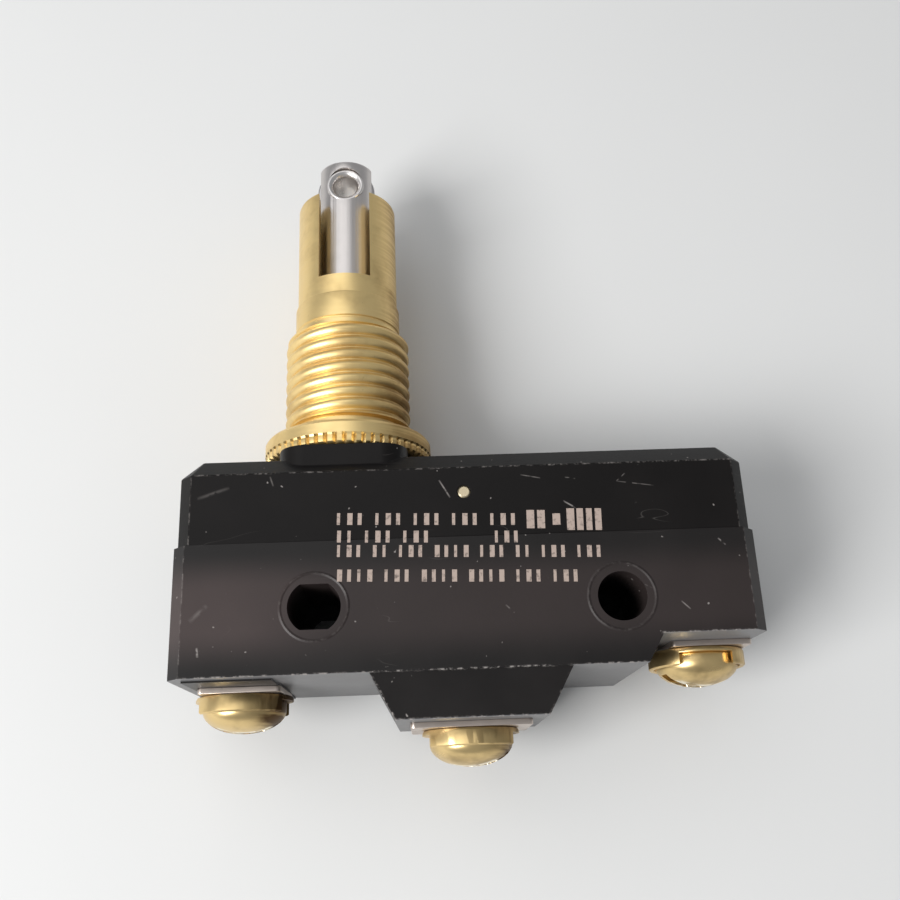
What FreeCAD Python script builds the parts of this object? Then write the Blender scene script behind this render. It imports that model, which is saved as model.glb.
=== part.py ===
import FreeCAD, Part
import math
import os

# A roller plunger switch, laid on its back.
# Sizes are in millimetres. X runs along the case, Y points at the roller and Z comes out of
# the printed face. The origin lies on the rear face, midway between the two mounting holes.

# Case
CASE_DEPTH = 17.45
BASE_LENGTH = 49.2
COVER_STEP = 0.3
HOLE_TO_UNDERSIDE = 5.45
HOLE_TO_SEAM = 5.5
COVER_HEIGHT = 7.8
CORNER_BEVEL = 1.1
TOP_BEVEL = 1.7
END_WALL = 2.2
CAVITY_DEPTH = 13.05
ROOF = 2.0
HOLE_TO_FLOOR = 3.3

# Mounting holes
HOLE_SPACING = 25.4
ROUND_HOLE_RADIUS = 2.05
LONG_HOLE_RADIUS = 2.2
LONG_HOLE_FLATS = 3.75

# Raised block under the middle terminal, and the cut corner and foot of the outer terminals
BLOCK_TOP_HALF = 8.25
BLOCK_FOOT_HALF = 6.3
BLOCK_HEIGHT = 3.65
BLOCK_TAPER = 2.05
CUT_HEIGHT = 2.3
CUT_TO_END = 10.2
CUT_SLANT = 1.4
FOOT_HEIGHT = 0.2
FOOT_INSET = 1.1
FOOT_LENGTH = 7.3

# Cover pin and the two tongues of the base that it passes through
COVER_PIN_RADIUS = 0.55
COVER_PIN_HEIGHT = 9.4
TONGUE_HALF = 3.0
TONGUE_THICKNESS = 2.0
TONGUE_GAP = 0.1
TONGUE_HEADROOM = 0.4

# Pad on the cover under the bushing
PLUNGER_OFFSET = 10.45
PAD_LENGTH = 11.4
PAD_INSET = 0.9
PAD_HEIGHT = 1.15
PAD_CORNER = 2.4

# Bushing
FLANGE_RADIUS = 7.8
KNURL_INSET = 0.4
KNURL_HEIGHT = 0.95
RIM_HEIGHT = 1.5
RIM_ROUND = 0.3
GROOVE_RADIUS = 5.5
GROOVE_LENGTH = 1.1
THREAD_RADIUS = 5.97
THREAD_LENGTH = 9.4
THREAD_CHAMFER = 0.35
NECK_RADIUS = 5.1
NECK_LENGTH = 3.25
SLEEVE_RADIUS = 4.9
SLEEVE_LENGTH = 11.6
SLEEVE_BEVEL = 0.35
SLOT_WIDTH = 5.0
SLOT_DEPTH = 9.6
TIP_BORE_RADIUS = 3.4
GUIDE_LENGTH = 9.0
GUIDE_LAND = 2.0
GREASE_POCKET = 0.95
SPIGOT_WALL = 0.5
WASHER_WIDTH = 1.4
WASHER_THICKNESS = 0.6
LIP_WIDTH = 0.3
LIP_HEIGHT = 0.3

# Plunger and roller
PLUNGER_RADIUS = 2.92
PLUNGER_PROUD = 4.56
PLUNGER_BEVEL = 0.25
FORK_GAP = 2.6
FORK_DEPTH = 6.15
SPOT_FACE = 2.3
ROLLER_RADIUS = 2.92
ROLLER_WIDTH = 2.4
ROLLER_PROUD = 0.21
RIVET_RADIUS = 1.6
RIVET_BORE = 1.2
RIVET_HEAD_RADIUS = 1.85
RIVET_HEAD = 0.35
FOOT_FLANGE = 1.2
FOOT_REACH = 1.45
PLUNGER_BORE_RADIUS = 1.9
PLUNGER_BORE_DEPTH = 15.5

# Springs, spring seat and actuating pin
SEAT_THICKNESS = 1.0
SEAT_RISE = 1.1
RETURN_WIRE = 0.5
RETURN_COIL_RADIUS = 3.5
RETURN_TURNS = 7.0
OVERTRAVEL_WIRE = 0.35
OVERTRAVEL_COIL_RADIUS = 1.35
OVERTRAVEL_TURNS = 20.0
WIRE_ARCS = 8
PIN_RADIUS = 1.2
PIN_NOSE_RADIUS = 0.7
PIN_NOSE_LENGTH = 0.6
PIN_HEAD_RADIUS = 1.55
PIN_HEAD_LENGTH = 1.3
PIN_LENGTH = 8.55

# Snap blade and contacts
BLADE_THICKNESS = 0.25
BLADE_WIDTH = 7.0
BLADE_HEIGHT = 7.4
BLADE_TAIL = 2.1
PIVOT_TO_POST = 1.0
WINDOW_START = -5.0
WINDOW_END = 10.0
WINDOW_WIDTH = 4.4
BOW_DROP = 1.7
BOW_THICKNESS = 0.2
CONTACT_TO_POST = 4.9
CONTACT_RADIUS = 1.8
CONTACT_DISC = 0.5
CONTACT_SHANK_RADIUS = 0.9
CONTACT_GAP = 0.9

# Terminals
END_TO_LEFT_TERMINAL = 5.0
END_TO_RIGHT_TERMINAL = 4.2
MIDDLE_TERMINAL = 0.0
POST_RADIUS = 2.8
PILLAR_RADIUS = 1.6
NECK_PIN_RADIUS = 1.0
STRAP_THICKNESS = 0.8
STRAP_WIDTH = 5.0
STRAP_END = 2.1
ANCHOR_WIDTH = 8.0
ANCHOR_FOOT = 0.6
ANCHOR_WALL = 1.3
ANCHOR_NOTCH = 0.9
ANCHOR_NOTCH_DEPTH = 1.0
ANCHOR_TOP = 1.0
ANCHOR_END_GAP = 0.1
PLATE_THICKNESS = 0.5
PLATE_WIDTH = 8.0
SIDE_PLATE_LENGTH = 7.0
MIDDLE_PLATE_LENGTH = 10.3
RIGHT_PLATE_SHIFT = 0.55
LEFT_PLATE_SHIFT = 0.1
CUP_RADIUS = 4.2
CUP_WALL = 0.45
CUP_FLOOR = 0.45
CUP_HEIGHT = 1.5
CUP_GAP_WIDTH = 4.6
SCREW_RADIUS = 1.5
SCREW_LENGTH = 6.5
SCREW_HEAD_RADIUS = 3.6
SCREW_HEAD_HEIGHT = 2.65
SCREW_DOME = 1.9
SCREW_SLOT_WIDTH = 0.95
SCREW_SLOT_DEPTH = 1.1
TAPPED_DEPTH = 7.5
LEFT_SLOT_ANGLE = 8
MIDDLE_SLOT_ANGLE = -12
RIGHT_SLOT_ANGLE = 12

# Clearances
RUNNING_GAP = 0.05
CLOSE_GAP = 0.05
SCREW_PLAY = 0.3
FLANGE_PLAY = 0.15
CONTACT_PLAY = 0.03
SWING_PLAY = 0.08

# Levels and places that follow from the sizes
mid = CASE_DEPTH / 2
underside = -HOLE_TO_UNDERSIDE
seam = HOLE_TO_SEAM
cover_top = seam + COVER_HEIGHT
roof_underside = cover_top - ROOF
pad_top = cover_top + PAD_HEIGHT
floor = HOLE_TO_FLOOR
plunger_x = -PLUNGER_OFFSET
half_base = BASE_LENGTH / 2
half_cover = half_base - COVER_STEP
half_cavity = half_base - END_WALL - CLOSE_GAP
wall = (CASE_DEPTH - CAVITY_DEPTH) / 2
left_terminal = END_TO_LEFT_TERMINAL - half_base
right_terminal = half_base - END_TO_RIGHT_TERMINAL
pivot_x = left_terminal - PIVOT_TO_POST
contact_x = right_terminal - CONTACT_TO_POST
cut_start = half_base - CUT_TO_END
pad_width = CASE_DEPTH - 2 * PAD_INSET

flange_top = pad_top + KNURL_HEIGHT + RIM_HEIGHT
thread_start = flange_top + GROOVE_LENGTH
thread_end = thread_start + THREAD_LENGTH
neck_start = thread_end + THREAD_CHAMFER
sleeve_start = neck_start + NECK_LENGTH
tip = sleeve_start + SLEEVE_LENGTH
slot_floor = tip - SLOT_DEPTH
shoulder = slot_floor - GUIDE_LENGTH
guide_radius = PLUNGER_RADIUS + RUNNING_GAP
washer_bottom = roof_underside - WASHER_THICKNESS
spigot_bottom = washer_bottom - LIP_HEIGHT
chamber_radius = PLUNGER_RADIUS + FOOT_REACH
spigot_radius = chamber_radius + SPIGOT_WALL

plunger_top = tip + PLUNGER_PROUD
fork_floor = plunger_top - FORK_DEPTH
roller_y = plunger_top + ROLLER_PROUD - ROLLER_RADIUS
foot_top = shoulder - CLOSE_GAP
foot_bottom = foot_top - FOOT_FLANGE
bore_top = foot_bottom + PLUNGER_BORE_DEPTH
foot_radius = chamber_radius - FLANGE_PLAY

seat_bottom = spigot_bottom + SEAT_RISE
seat_top = seat_bottom + SEAT_THICKNESS
blade_top = BLADE_HEIGHT
blade_bottom = blade_top - BLADE_THICKNESS
pin_foot = blade_top + CLOSE_GAP
pin_head_start = pin_foot + PIN_LENGTH
pin_head_top = pin_head_start + PIN_HEAD_LENGTH

moving_top = blade_top + CONTACT_DISC
moving_bottom = blade_bottom - CONTACT_DISC
closed_bottom = moving_top + CONTACT_PLAY
closed_strap = closed_bottom + CONTACT_DISC
open_top = moving_bottom - CONTACT_GAP - SWING_PLAY
open_strap_top = floor + STRAP_THICKNESS
blade_end = contact_x + BLADE_TAIL

left_face = underside - FOOT_HEIGHT
middle_face = underside - BLOCK_HEIGHT
right_face = underside + CUT_HEIGHT
tapped_radius = SCREW_RADIUS + RUNNING_GAP


def save(name, shape):
    """Write one solid to its own file."""
    shape.exportStep("parts/" + name + ".step")


def block(x0, x1, y0, y1, z0, z1):
    """A box between two opposite corners."""
    corner = FreeCAD.Vector(x0, y0, z0)
    return Part.makeBox(x1 - x0, y1 - y0, z1 - z0, corner)


def rod_y(x, z, radius, y0, y1):
    """A round bar along Y."""
    return Part.makeCylinder(radius, y1 - y0, FreeCAD.Vector(x, y0, z), FreeCAD.Vector(0, 1, 0))


def rod_z(x, y, radius, z0, z1):
    """A round bar along Z."""
    return Part.makeCylinder(radius, z1 - z0, FreeCAD.Vector(x, y, z0), FreeCAD.Vector(0, 0, 1))


def prism_z(points, z0, z1):
    """An outline in X and Y carried along Z."""
    corners = [FreeCAD.Vector(x, y, z0) for x, y in points]
    face = Part.Face(Part.makePolygon(corners + corners[:1]))
    return face.extrude(FreeCAD.Vector(0, 0, z1 - z0))


def prism_y(points, y0, y1):
    """An outline in X and Z carried along Y."""
    corners = [FreeCAD.Vector(x, y0, z) for x, z in points]
    face = Part.Face(Part.makePolygon(corners + corners[:1]))
    return face.extrude(FreeCAD.Vector(0, y1 - y0, 0))


def turned(x, z, profile):
    """A profile of radius and height turned about an axis along Y."""
    corners = [FreeCAD.Vector(x + radius, y, z) for radius, y in profile]
    face = Part.Face(Part.makePolygon(corners + corners[:1]))
    return face.revolve(FreeCAD.Vector(x, 0, z), FreeCAD.Vector(0, 1, 0), 360)


def bevelled_outline(half_length, bevel):
    """The case seen from above, with its four upright corners bevelled."""
    return [
        (-half_length, bevel),
        (-half_length + bevel, 0),
        (half_length - bevel, 0),
        (half_length, bevel),
        (half_length, CASE_DEPTH - bevel),
        (half_length - bevel, CASE_DEPTH),
        (-half_length + bevel, CASE_DEPTH),
        (-half_length, CASE_DEPTH - bevel),
    ]


def coil(x, z, radius, wire, turns, y0, y1):
    """A round-wire spring along Y between two levels, its section drawn in equal arcs."""
    height = y1 - y0 - wire
    helix = Part.makeHelix(height / turns, height, radius)
    climb = FreeCAD.Vector(0, 2 * math.pi * radius, height / turns)
    start = FreeCAD.Vector(radius, 0, 0)
    step = 360 / WIRE_ARCS
    arcs = []
    for index in range(WIRE_ARCS):
        arcs.append(Part.makeCircle(wire / 2, start, climb, index * step, (index + 1) * step))
    spring = Part.Wire(helix.Edges).makePipeShell([Part.Wire(arcs)], True, True)
    spring.rotate(FreeCAD.Vector(0, 0, 0), FreeCAD.Vector(1, 0, 0), -90)
    spring.translate(FreeCAD.Vector(x, y0 + wire / 2, z))
    return spring


def frustum_y(top, foot, y_top, y_foot):
    """A solid between two rectangles, each given as x0, x1, z0, z1."""
    wires = []
    for (x0, x1, z0, z1), y in ((top, y_top), (foot, y_foot)):
        corners = [
            FreeCAD.Vector(x0, y, z0),
            FreeCAD.Vector(x1, y, z0),
            FreeCAD.Vector(x1, y, z1),
            FreeCAD.Vector(x0, y, z1),
        ]
        wires.append(Part.makePolygon(corners + corners[:1]))
    return Part.makeLoft(wires, True, True)


def round_hole():
    """The plain mounting hole."""
    return rod_z(HOLE_SPACING / 2, 0, ROUND_HOLE_RADIUS, 0, CASE_DEPTH)


def long_hole():
    """The mounting hole with two flats, which takes up an error in the spacing."""
    x = -HOLE_SPACING / 2
    hole = rod_z(x, 0, LONG_HOLE_RADIUS, 0, CASE_DEPTH)
    half = LONG_HOLE_FLATS / 2
    flats = block(x - LONG_HOLE_RADIUS, x + LONG_HOLE_RADIUS, -half, half, 0, CASE_DEPTH)
    return hole.common(flats)


# Base of the case
def build_case_base():
    """The lower half: mounting holes, seats of the terminals and the tongues for the pin."""
    body = prism_y(bevelled_outline(half_base, CORNER_BEVEL), underside, seam)
    cut = prism_z(
        [
            (cut_start, underside),
            (half_base, underside),
            (half_base, right_face),
            (cut_start + CUT_SLANT, right_face),
        ],
        0,
        CASE_DEPTH,
    )
    body = body.cut(cut)
    block_top = (-BLOCK_TOP_HALF, BLOCK_TOP_HALF, 0, CASE_DEPTH)
    block_foot = (-BLOCK_FOOT_HALF, BLOCK_FOOT_HALF, BLOCK_TAPER, CASE_DEPTH - BLOCK_TAPER)
    body = body.fuse(frustum_y(block_top, block_foot, underside, middle_face))
    foot_start = -half_base + FOOT_INSET
    foot = block(
        foot_start,
        foot_start + FOOT_LENGTH,
        left_face,
        underside,
        CORNER_BEVEL,
        CASE_DEPTH - CORNER_BEVEL,
    )
    body = body.fuse(foot)
    cavity = block(-half_cavity, half_cavity, floor, seam, wall, CASE_DEPTH - wall)
    body = body.cut(cavity)
    tongue_top = roof_underside - TONGUE_HEADROOM
    near = wall + TONGUE_GAP
    for z0 in (near, CASE_DEPTH - near - TONGUE_THICKNESS):
        tongue = block(
            -TONGUE_HALF, TONGUE_HALF, floor, tongue_top, z0, z0 + TONGUE_THICKNESS
        )
        body = body.fuse(tongue)
    body = body.cut(rod_z(0, COVER_PIN_HEIGHT, COVER_PIN_RADIUS, 0, CASE_DEPTH))
    body = body.cut(round_hole()).cut(long_hole())
    for x, face in terminals():
        body = body.cut(rod_y(x, mid, POST_RADIUS, face, floor))
    return body.removeSplitter()


def terminals():
    """Place and seat level of the three terminals."""
    return (
        (left_terminal, left_face),
        (MIDDLE_TERMINAL, middle_face),
        (right_terminal, right_face),
    )


# Cover of the case
def build_case_cover():
    """The upper half, with a bevelled top and the pad that carries the bushing."""
    lower = prism_y(bevelled_outline(half_cover, CORNER_BEVEL), seam, cover_top - TOP_BEVEL)
    inner_half = half_cover - TOP_BEVEL
    wide = (-half_cover, half_cover, 0, CASE_DEPTH)
    narrow = (-inner_half, inner_half, TOP_BEVEL, CASE_DEPTH - TOP_BEVEL)
    upper = frustum_y(wide, narrow, cover_top - TOP_BEVEL, cover_top)
    trim = prism_y(bevelled_outline(half_cover, CORNER_BEVEL), seam, cover_top)
    body = lower.fuse(upper.common(trim))
    pad = block(
        plunger_x - PAD_LENGTH / 2,
        plunger_x + PAD_LENGTH / 2,
        cover_top - ROOF / 2,
        pad_top,
        mid - pad_width / 2,
        mid + pad_width / 2,
    )
    corners = [edge for edge in pad.Edges if is_along_y(edge)]
    pad = pad.makeFillet(PAD_CORNER, corners)
    body = body.fuse(pad)
    cavity = block(-half_cavity, half_cavity, seam, roof_underside, wall, CASE_DEPTH - wall)
    body = body.cut(cavity)
    spigot_hole = rod_y(plunger_x, mid, spigot_radius + CLOSE_GAP, roof_underside, pad_top)
    body = body.cut(spigot_hole)
    body = body.cut(rod_z(0, COVER_PIN_HEIGHT, COVER_PIN_RADIUS, 0, CASE_DEPTH))
    return body.removeSplitter()


def is_along_y(edge):
    """True for a straight edge that runs along Y."""
    first = edge.Vertexes[0].Point
    last = edge.Vertexes[-1].Point
    return abs(first.x - last.x) < 1e-6 and abs(first.z - last.z) < 1e-6


# Bushing and its washer
def build_bushing():
    """The brass bushing: spigot, flange, thread, neck and slotted sleeve, bored in steps."""
    profile = [
        (chamber_radius, spigot_bottom),
        (spigot_radius + LIP_WIDTH, spigot_bottom),
        (spigot_radius + LIP_WIDTH, washer_bottom),
        (spigot_radius, washer_bottom),
        (spigot_radius, pad_top),
        (FLANGE_RADIUS - KNURL_INSET, pad_top),
        (FLANGE_RADIUS, pad_top + KNURL_HEIGHT),
        (FLANGE_RADIUS, flange_top - RIM_ROUND),
        (FLANGE_RADIUS - RIM_ROUND, flange_top),
        (GROOVE_RADIUS, flange_top),
        (GROOVE_RADIUS, thread_start),
        (THREAD_RADIUS, thread_start),
        (THREAD_RADIUS, thread_end),
        (NECK_RADIUS, neck_start),
        (NECK_RADIUS, sleeve_start),
        (SLEEVE_RADIUS, sleeve_start),
        (SLEEVE_RADIUS, tip - SLEEVE_BEVEL),
        (SLEEVE_RADIUS - SLEEVE_BEVEL, tip),
        (TIP_BORE_RADIUS, tip),
        (TIP_BORE_RADIUS, slot_floor),
        (guide_radius, slot_floor),
        (guide_radius, slot_floor - GUIDE_LAND),
        (guide_radius + GREASE_POCKET, slot_floor - GUIDE_LAND),
        (guide_radius + GREASE_POCKET, shoulder + GUIDE_LAND),
        (guide_radius, shoulder + GUIDE_LAND),
        (guide_radius, shoulder),
        (chamber_radius, shoulder),
    ]
    body = turned(plunger_x, mid, profile)
    slot = block(
        plunger_x - SLOT_WIDTH / 2,
        plunger_x + SLOT_WIDTH / 2,
        slot_floor,
        tip,
        mid - SLEEVE_RADIUS,
        mid + SLEEVE_RADIUS,
    )
    return body.cut(slot)


def build_bushing_washer():
    """The washer under the roof that the rolled lip of the spigot holds."""
    outer = rod_y(plunger_x, mid, spigot_radius + WASHER_WIDTH, washer_bottom, roof_underside)
    hole = rod_y(plunger_x, mid, spigot_radius, washer_bottom, roof_underside)
    return outer.cut(hole)


# Plunger, roller and rivet
def build_plunger():
    """The forked plunger with a foot flange, and a bore for the overtravel spring."""
    profile = [
        (PLUNGER_BORE_RADIUS, foot_bottom),
        (foot_radius, foot_bottom),
        (foot_radius, foot_top),
        (PLUNGER_RADIUS, foot_top),
        (PLUNGER_RADIUS, plunger_top - PLUNGER_BEVEL),
        (PLUNGER_RADIUS - PLUNGER_BEVEL, plunger_top),
        (0, plunger_top),
        (0, bore_top),
        (PLUNGER_BORE_RADIUS, bore_top),
    ]
    body = turned(plunger_x, mid, profile)
    fork = block(
        plunger_x - PLUNGER_RADIUS,
        plunger_x + PLUNGER_RADIUS,
        fork_floor,
        plunger_top,
        mid - FORK_GAP / 2,
        mid + FORK_GAP / 2,
    )
    body = body.cut(fork)
    for z0, z1 in (
        (mid + SPOT_FACE, mid + PLUNGER_RADIUS),
        (mid - PLUNGER_RADIUS, mid - SPOT_FACE),
    ):
        body = body.cut(rod_z(plunger_x, roller_y, RIVET_HEAD_RADIUS + CLOSE_GAP, z0, z1))
    return body.cut(rod_z(plunger_x, roller_y, RIVET_RADIUS, mid - SPOT_FACE, mid + SPOT_FACE))


def build_roller():
    """The roller between the two ears."""
    half = ROLLER_WIDTH / 2
    outer = rod_z(plunger_x, roller_y, ROLLER_RADIUS, mid - half, mid + half)
    bore = rod_z(plunger_x, roller_y, RIVET_RADIUS + RUNNING_GAP, mid - half, mid + half)
    return outer.cut(bore)


def build_roller_pin():
    """The tubular rivet on which the roller turns."""
    reach = SPOT_FACE + RIVET_HEAD
    body = rod_z(plunger_x, roller_y, RIVET_RADIUS, mid - reach, mid + reach)
    for z0 in (mid - reach, mid + SPOT_FACE):
        body = body.fuse(rod_z(plunger_x, roller_y, RIVET_HEAD_RADIUS, z0, z0 + RIVET_HEAD))
    bore = rod_z(plunger_x, roller_y, RIVET_BORE, mid - reach, mid + reach)
    return body.cut(bore).removeSplitter()


# Springs, spring seat and actuating pin
def build_return_spring():
    """The spring that lifts the plunger."""
    return coil(plunger_x, mid, RETURN_COIL_RADIUS, RETURN_WIRE, RETURN_TURNS, seat_top, foot_bottom)


def build_overtravel_spring():
    """The spring inside the plunger that drives the actuating pin."""
    return coil(
        plunger_x,
        mid,
        OVERTRAVEL_COIL_RADIUS,
        OVERTRAVEL_WIRE,
        OVERTRAVEL_TURNS,
        pin_head_top,
        bore_top,
    )


def build_spring_seat():
    """The disc that closes the bushing and guides the actuating pin."""
    disc = rod_y(plunger_x, mid, chamber_radius, seat_bottom, seat_top)
    return disc.cut(rod_y(plunger_x, mid, PIN_RADIUS + RUNNING_GAP, seat_bottom, seat_top))


def build_actuating_pin():
    """The moulded pin that presses the blade."""
    profile = [
        (0, pin_foot),
        (PIN_NOSE_RADIUS, pin_foot),
        (PIN_RADIUS, pin_foot + PIN_NOSE_LENGTH),
        (PIN_RADIUS, pin_head_start),
        (PIN_HEAD_RADIUS, pin_head_start),
        (PIN_HEAD_RADIUS, pin_head_top),
        (0, pin_head_top),
    ]
    return turned(plunger_x, mid, profile)


# Blade and contacts
def build_snap_blade():
    """The blade, from its pivot to the moving contact, with the bowed tongue in its window."""
    start = pivot_x
    half = BLADE_WIDTH / 2
    strip = block(start, blade_end, blade_bottom, blade_top, mid - half, mid + half)
    half_window = WINDOW_WIDTH / 2
    window = block(
        WINDOW_START, WINDOW_END, blade_bottom, blade_top, mid - half_window, mid + half_window
    )
    strip = strip.cut(window)
    centre_x = (WINDOW_START + WINDOW_END) / 2
    span = (WINDOW_END - WINDOW_START) / 2
    radius = (span * span + BOW_DROP * BOW_DROP) / (2 * BOW_DROP)
    centre_y = blade_bottom + radius - BOW_DROP
    outer = rod_z(centre_x, centre_y, radius, mid - half_window, mid + half_window)
    inner = rod_z(centre_x, centre_y, radius - BOW_THICKNESS, mid - half_window, mid + half_window)
    reach = block(
        WINDOW_START,
        WINDOW_END,
        blade_bottom - BOW_DROP,
        blade_top,
        mid - half_window,
        mid + half_window,
    )
    bow = outer.cut(inner).common(reach)
    blade = strip.fuse(bow)
    hole = rod_y(contact_x, mid, CONTACT_SHANK_RADIUS, blade_bottom, blade_top)
    return blade.cut(hole).removeSplitter()


def build_moving_contact():
    """The double-faced contact riveted through the blade."""
    lower = rod_y(contact_x, mid, CONTACT_RADIUS, moving_bottom, blade_bottom)
    upper = rod_y(contact_x, mid, CONTACT_RADIUS, blade_top, moving_top)
    shank = rod_y(contact_x, mid, CONTACT_SHANK_RADIUS, moving_bottom, moving_top)
    return lower.fuse(upper).fuse(shank).removeSplitter()


def build_fixed_contact(face, back, strap_far):
    """A fixed contact with its shank riveted through a strap."""
    low = min(face, back)
    high = max(face, back)
    head = rod_y(contact_x, mid, CONTACT_RADIUS, low, high)
    low = min(back, strap_far)
    high = max(back, strap_far)
    return head.fuse(rod_y(contact_x, mid, CONTACT_SHANK_RADIUS, low, high))


def build_strap(x0, x1, post_x, bottom):
    """A flat strap between a post and its fixed contact."""
    half = STRAP_WIDTH / 2
    top = bottom + STRAP_THICKNESS
    strap = block(x0, x1, bottom, top, mid - half, mid + half)
    strap = strap.cut(rod_y(post_x, mid, NECK_PIN_RADIUS, bottom, top))
    return strap.cut(rod_y(contact_x, mid, CONTACT_SHANK_RADIUS, bottom, top))


# Posts and the anchor of the blade
anchor_bottom = blade_bottom - ANCHOR_NOTCH - ANCHOR_FOOT


def build_post(x, face, pillar_top, neck_length):
    """A threaded post moulded into the base, with a pillar and a riveted neck."""
    body = rod_y(x, mid, POST_RADIUS, face, floor)
    if pillar_top > floor:
        body = body.fuse(rod_y(x, mid, PILLAR_RADIUS, floor, pillar_top))
    body = body.fuse(rod_y(x, mid, NECK_PIN_RADIUS, pillar_top, pillar_top + neck_length))
    return body.cut(rod_y(x, mid, tapped_radius, face, face + TAPPED_DEPTH))


def build_blade_anchor():
    """The bracket on the common post, with the notch in which the blade rocks."""
    half = ANCHOR_WIDTH / 2
    x0 = -half_cavity + ANCHOR_END_GAP
    upright_end = x0 + ANCHOR_WALL + ANCHOR_NOTCH_DEPTH
    foot_end = left_terminal + PILLAR_RADIUS
    foot = block(x0, foot_end, anchor_bottom, anchor_bottom + ANCHOR_FOOT, mid - half, mid + half)
    top = blade_top + ANCHOR_TOP
    upright = block(x0, upright_end, anchor_bottom, top, mid - half, mid + half)
    middle = blade_top - BLADE_THICKNESS / 2
    notch = block(
        pivot_x - CLOSE_GAP,
        upright_end,
        middle - ANCHOR_NOTCH / 2,
        middle + ANCHOR_NOTCH / 2,
        mid - half,
        mid + half,
    )
    body = foot.fuse(upright).cut(notch)
    neck = rod_y(left_terminal, mid, NECK_PIN_RADIUS, anchor_bottom, anchor_bottom + ANCHOR_FOOT)
    return body.cut(neck).removeSplitter()


# Terminal hardware
def build_plate(x, face, shift, length):
    """The flat terminal plate under a seat."""
    x0 = x + shift - length / 2
    half = PLATE_WIDTH / 2
    plate = block(x0, x0 + length, face - PLATE_THICKNESS, face, mid - half, mid + half)
    hole = rod_y(x, mid, SCREW_RADIUS + SCREW_PLAY, face - PLATE_THICKNESS, face)
    return plate.cut(hole)


def build_cup(x, face, gaps_front):
    """The cup washer: a floor and two turned-up walls with a wire gap on each side."""
    top = face - PLATE_THICKNESS
    body = rod_y(x, mid, CUP_RADIUS, top - CUP_HEIGHT, top)
    hollow = rod_y(x, mid, CUP_RADIUS - CUP_WALL, top - CUP_HEIGHT, top - CUP_FLOOR)
    body = body.cut(hollow)
    half = CUP_GAP_WIDTH / 2
    if gaps_front:
        gap = block(
            x - half, x + half, top - CUP_HEIGHT, top - CUP_FLOOR, mid - CUP_RADIUS, mid + CUP_RADIUS
        )
    else:
        gap = block(
            x - CUP_RADIUS, x + CUP_RADIUS, top - CUP_HEIGHT, top - CUP_FLOOR, mid - half, mid + half
        )
    body = body.cut(gap)
    return body.cut(rod_y(x, mid, SCREW_RADIUS + SCREW_PLAY, top - CUP_FLOOR, top))


def build_screw(x, face, slot_angle):
    """A slotted round-head screw, its shank in the tapped post."""
    seat = face - PLATE_THICKNESS - CUP_FLOOR
    end = seat - SCREW_HEAD_HEIGHT
    edge = end + SCREW_DOME
    tip_point = FreeCAD.Vector(x, end, mid)
    rim_point = FreeCAD.Vector(x + SCREW_HEAD_RADIUS, edge, mid)
    rim_centre = FreeCAD.Vector(x, edge, mid)
    dome = Part.Ellipse(rim_point, tip_point, rim_centre).toShape(0, math.pi / 2)
    straight = Part.makePolygon(
        [
            tip_point,
            FreeCAD.Vector(x, seat, mid),
            FreeCAD.Vector(x + SCREW_HEAD_RADIUS, seat, mid),
            rim_point,
        ]
    )
    outline = Part.Wire(Part.sortEdges(straight.Edges + [dome])[0])
    head = Part.Face(outline).revolve(rim_centre, FreeCAD.Vector(0, 1, 0), 360)
    slot = block(
        x - SCREW_HEAD_RADIUS,
        x + SCREW_HEAD_RADIUS,
        end,
        end + SCREW_SLOT_DEPTH,
        mid - SCREW_SLOT_WIDTH / 2,
        mid + SCREW_SLOT_WIDTH / 2,
    )
    slot.rotate(FreeCAD.Vector(x, 0, mid), FreeCAD.Vector(0, 1, 0), slot_angle)
    head = head.cut(slot)
    shank = rod_y(x, mid, SCREW_RADIUS, seat, face + SCREW_LENGTH)
    return head.fuse(shank).removeSplitter()


save("case_base", build_case_base())
save("case_cover", build_case_cover())
save("cover_pin", rod_z(0, COVER_PIN_HEIGHT, COVER_PIN_RADIUS, 0, CASE_DEPTH))
save("bushing", build_bushing())
save("bushing_washer", build_bushing_washer())
save("spring_seat", build_spring_seat())
save("plunger", build_plunger())
save("roller", build_roller())
save("roller_pin", build_roller_pin())
save("return_spring", build_return_spring())
save("overtravel_spring", build_overtravel_spring())
save("actuating_pin", build_actuating_pin())
save("snap_blade", build_snap_blade())
save("moving_contact", build_moving_contact())
save("blade_anchor", build_blade_anchor())

save(
    "normally_closed_contact",
    build_fixed_contact(closed_bottom, closed_strap, closed_strap + STRAP_THICKNESS),
)
save("normally_open_contact", build_fixed_contact(open_top, open_strap_top, floor))
strap_start = contact_x - STRAP_END
strap_end = right_terminal + PILLAR_RADIUS
save("normally_closed_strap", build_strap(strap_start, strap_end, right_terminal, closed_strap))
strap_start = MIDDLE_TERMINAL - STRAP_END
strap_end = contact_x + STRAP_END
save("normally_open_strap", build_strap(strap_start, strap_end, MIDDLE_TERMINAL, floor))

save("common_post", build_post(left_terminal, left_face, anchor_bottom, ANCHOR_FOOT))
save("normally_open_post", build_post(MIDDLE_TERMINAL, middle_face, floor, STRAP_THICKNESS))
save("normally_closed_post", build_post(right_terminal, right_face, closed_strap, STRAP_THICKNESS))

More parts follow.
